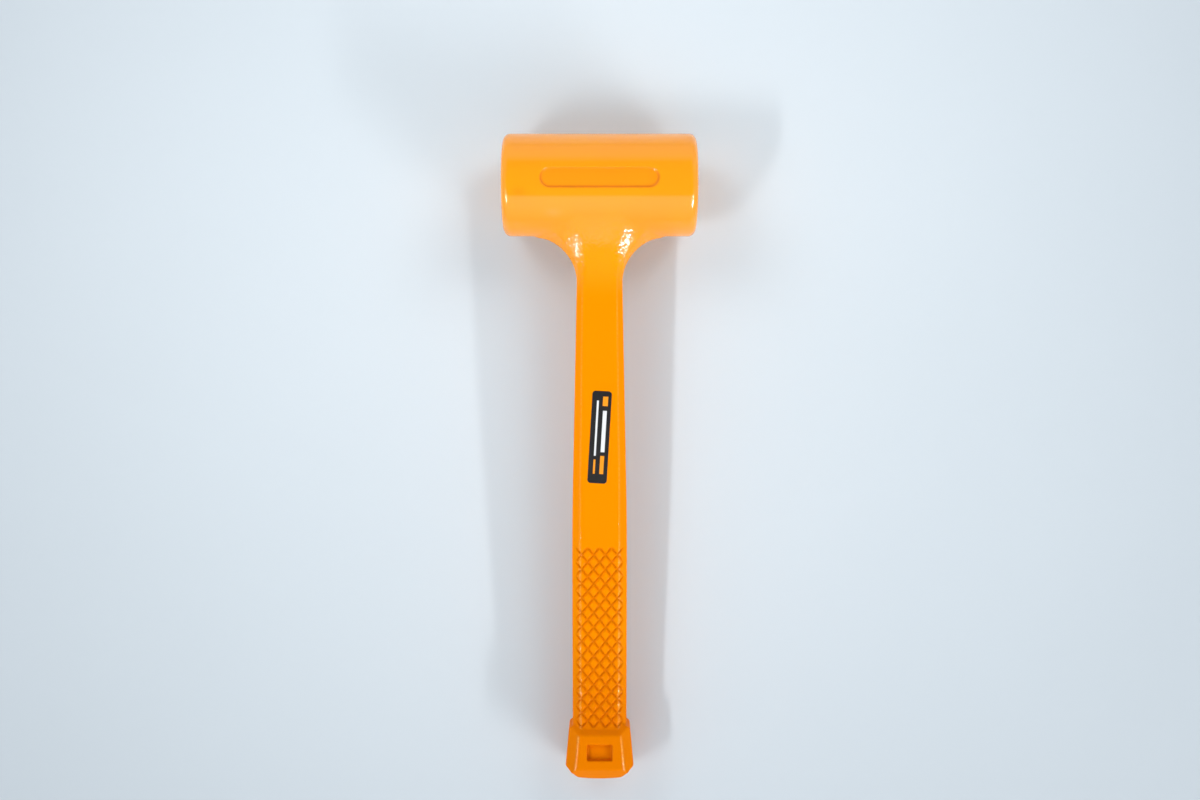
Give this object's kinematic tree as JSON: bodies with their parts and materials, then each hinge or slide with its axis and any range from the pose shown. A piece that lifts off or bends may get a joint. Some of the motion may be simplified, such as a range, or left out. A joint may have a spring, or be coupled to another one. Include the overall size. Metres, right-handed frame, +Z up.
{
  "type": "dead blow hammer",
  "caption": "Dead blow hammer: a cylindrical shot-filled head and a diamond-grip handle in one moulded orange skin over a welded steel core.",
  "frame": {"origin": "centre of the bottom of the bounding box, on the surface that the hammer lies on", "axes": "+X along the head's axis from the left to the right striking face, +Y along the hammer from pommel to head, +Z up"},
  "size_m": [0.098, 0.3298, 0.052],
  "materials": {
    "skin": "satin moulded elastomer with a fine grain",
    "steel": "drawn mild steel",
    "weld": "weld bead, dull",
    "shot": "round steel shot",
    "label": "printed film sticker, satin"
  },
  "bodies": {
    "hammer": {"moulded_jacket": "skin", "canister_tube": "steel", "canister_cap_left": "steel", "canister_cap_right": "steel", "cap_welds": "weld", "handle_rod": "steel", "rod_weld": "weld", "handle_label": "label"},
    "shot": {"steel_shot": "shot"}
  },
  "joints": [
    {"name": "shot_slide", "type": "slide", "parent": "hammer", "child": "shot", "axis": [1, 0, 0], "range_m": [-0.0117, 0.0117]}
  ]
}
